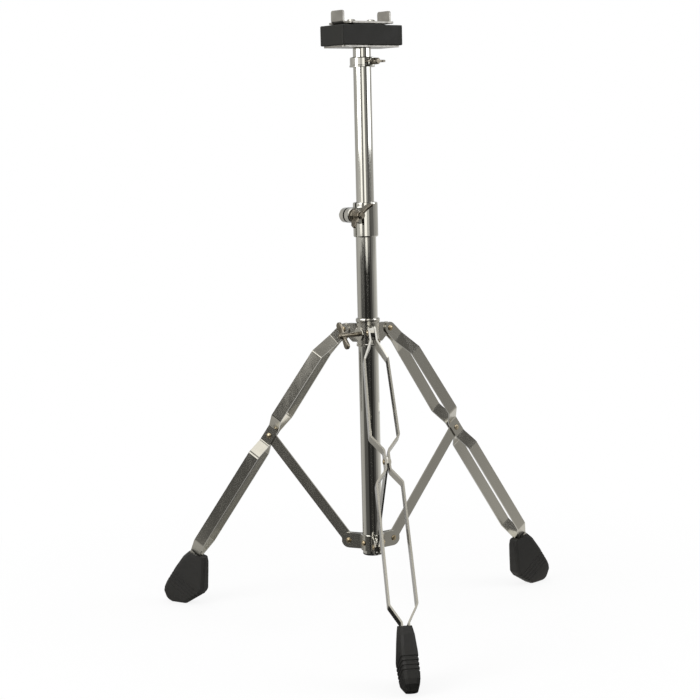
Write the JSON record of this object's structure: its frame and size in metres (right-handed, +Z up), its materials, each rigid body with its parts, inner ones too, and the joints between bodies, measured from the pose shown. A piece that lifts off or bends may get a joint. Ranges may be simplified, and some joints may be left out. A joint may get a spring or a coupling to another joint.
{
  "type": "folding tripod drum stand",
  "caption": "Folding tripod stand with braced double-strap legs, a height-adjustable mast and a block with two upright tabs that carry a pair of tall hand drums",
  "frame": {"origin": "centre of the bounding box on the floor plane that the three rubber feet stand on", "axes": "+Z up along the tubes; leg 1 points to -Y, legs 2 and 3 to 30 and 150 degrees from +X; the tube axis is at x = 0, y = 0.07286"},
  "size_m": [0.531, 0.461, 0.7693],
  "materials": {
    "chrome": "polished",
    "bright_steel": "plated sheet",
    "rivet_steel": "yellow passivated",
    "dark_cast_metal": "dark plated",
    "zinc_plate": "zinc plated",
    "black_moulding": "matte",
    "black_rubber": "moulded",
    "black_nylon": "moulded"
  },
  "bodies": {
    "base": {"lower_tube": "chrome", "tube_end_plug": "black_nylon", "height_clamp": "chrome", "clamp_bolt": "dark_cast_metal", "clamp_washer": "dark_cast_metal", "lower_bracket_1": "bright_steel", "lower_bracket_2": "bright_steel", "lower_bracket_3": "bright_steel", "bracket_rivet_1": "rivet_steel", "bracket_rivet_2": "rivet_steel", "bracket_rivet_3": "rivet_steel", "brace_1_lower_rivet": "rivet_steel", "brace_2_lower_rivet": "rivet_steel", "brace_3_lower_rivet": "rivet_steel"},
    "height_wing_nut": {"clamp_wing_nut": "dark_cast_metal"},
    "mast_bush": {"mast_bush": "black_nylon"},
    "memory_collar": {"memory_collar": "chrome"},
    "memory_screw": {"memory_wing_screw": "dark_cast_metal"},
    "mast": {"upper_tube": "chrome", "upper_tube_plug": "black_nylon", "head_flange": "zinc_plate", "head_block": "black_moulding", "hook_plate": "zinc_plate", "head_screw_1": "bright_steel", "head_screw_2": "bright_steel"},
    "brace_1": {"brace_1": "bright_steel"},
    "leg_1": {"leg_1_strap_a": "bright_steel", "leg_1_strap_b": "bright_steel", "leg_1_mid_rivet": "rivet_steel", "foot_1_pin": "rivet_steel", "rubber_foot_1": "black_rubber"},
    "leg_collar": {"leg_collar": "bright_steel", "collar_rivet_1": "rivet_steel", "collar_rivet_2": "rivet_steel", "collar_rivet_3": "rivet_steel", "collar_guide_screw": "dark_cast_metal"},
    "collar_bolt": {"collar_wing_bolt": "dark_cast_metal"},
    "leg_2": {"leg_2_strap_a": "bright_steel", "leg_2_strap_b": "bright_steel", "leg_2_mid_rivet": "rivet_steel", "foot_2_pin": "rivet_steel", "rubber_foot_2": "black_rubber"},
    "brace_2": {"brace_2": "bright_steel"},
    "leg_3": {"leg_3_strap_a": "bright_steel", "leg_3_strap_b": "bright_steel", "leg_3_mid_rivet": "rivet_steel", "foot_3_pin": "rivet_steel", "rubber_foot_3": "black_rubber"},
    "brace_3": {"brace_3": "bright_steel"}
  },
  "joints": [
    {"name": "leg_fold", "type": "hinge", "parent": "base", "child": "brace_1", "pos_m": [0, 0.04106, 0.10371], "axis": [1, 0, 0], "range_deg": [-35.5, 6]},
    {"name": "leg_1_middle_pivot", "type": "hinge", "parent": "brace_1", "child": "leg_1", "pos_m": [0, -0.06778, 0.23443], "axis": [1, 0, 0], "range_deg": [-12, 69.5]},
    {"name": "leg_1_collar_pivot", "type": "hinge", "parent": "leg_1", "child": "leg_collar", "pos_m": [0, 0.04106, 0.37583], "axis": [1, 0, 0], "range_deg": [-34, 6]},
    {"name": "leg_2_collar_pivot", "type": "hinge", "parent": "leg_collar", "child": "leg_2", "pos_m": [0.02754, 0.08876, 0.37583], "axis": [-0.5, 0.866, 0], "range_deg": [-6, 34]},
    {"name": "leg_3_collar_pivot", "type": "hinge", "parent": "leg_collar", "child": "leg_3", "pos_m": [-0.02754, 0.08876, 0.37583], "axis": [-0.5, -0.866, 0], "range_deg": [-6, 34]},
    {"name": "leg_2_middle_pivot", "type": "hinge", "parent": "leg_2", "child": "brace_2", "pos_m": [0.1218, 0.14318, 0.23443], "axis": [-0.5, 0.866, 0], "range_deg": [-69.5, 12]},
    {"name": "leg_3_middle_pivot", "type": "hinge", "parent": "leg_3", "child": "brace_3", "pos_m": [-0.1218, 0.14318, 0.23443], "axis": [-0.5, -0.866, 0], "range_deg": [-69.5, 12]},
    {"name": "collar_bolt_turn", "type": "hinge", "parent": "leg_collar", "child": "collar_bolt", "pos_m": [-0.03031, 0.05536, 0.37163], "axis": [-0.866, -0.5, 0], "continuous": true},
    {"name": "height_nut_turn", "type": "hinge", "parent": "base", "child": "height_wing_nut", "pos_m": [-0.02222, 0.05898, 0.52081], "axis": [0.5299, -0.848, 0], "continuous": true},
    {"name": "mast_swivel", "type": "hinge", "parent": "base", "child": "mast_bush", "pos_m": [0, 0.07286, 0.5225], "axis": [0, 0, 1], "continuous": true},
    {"name": "mast_height", "type": "slide", "parent": "mast_bush", "child": "memory_collar", "axis": [0, 0, 1], "range_m": [-0.163, 0]},
    {"name": "mast_through_collar", "type": "slide", "parent": "memory_collar", "child": "mast", "axis": [0, 0, 1], "range_m": [-0.0025, 0.155]},
    {"name": "memory_screw_turn", "type": "hinge", "parent": "memory_collar", "child": "memory_screw", "pos_m": [0.01478, 0.05395, 0.70771], "axis": [0.6157, -0.788, 0], "continuous": true}
  ],
  "couplings": [
    {"joint": "leg_1_middle_pivot", "follows": "leg_fold", "ratio": -1.941},
    {"joint": "leg_1_collar_pivot", "follows": "leg_fold", "ratio": 0.941},
    {"joint": "leg_2_collar_pivot", "follows": "leg_fold", "ratio": -0.941},
    {"joint": "leg_3_collar_pivot", "follows": "leg_fold", "ratio": -0.941},
    {"joint": "leg_2_middle_pivot", "follows": "leg_fold", "ratio": 1.941},
    {"joint": "leg_3_middle_pivot", "follows": "leg_fold", "ratio": 1.941}
  ]
}
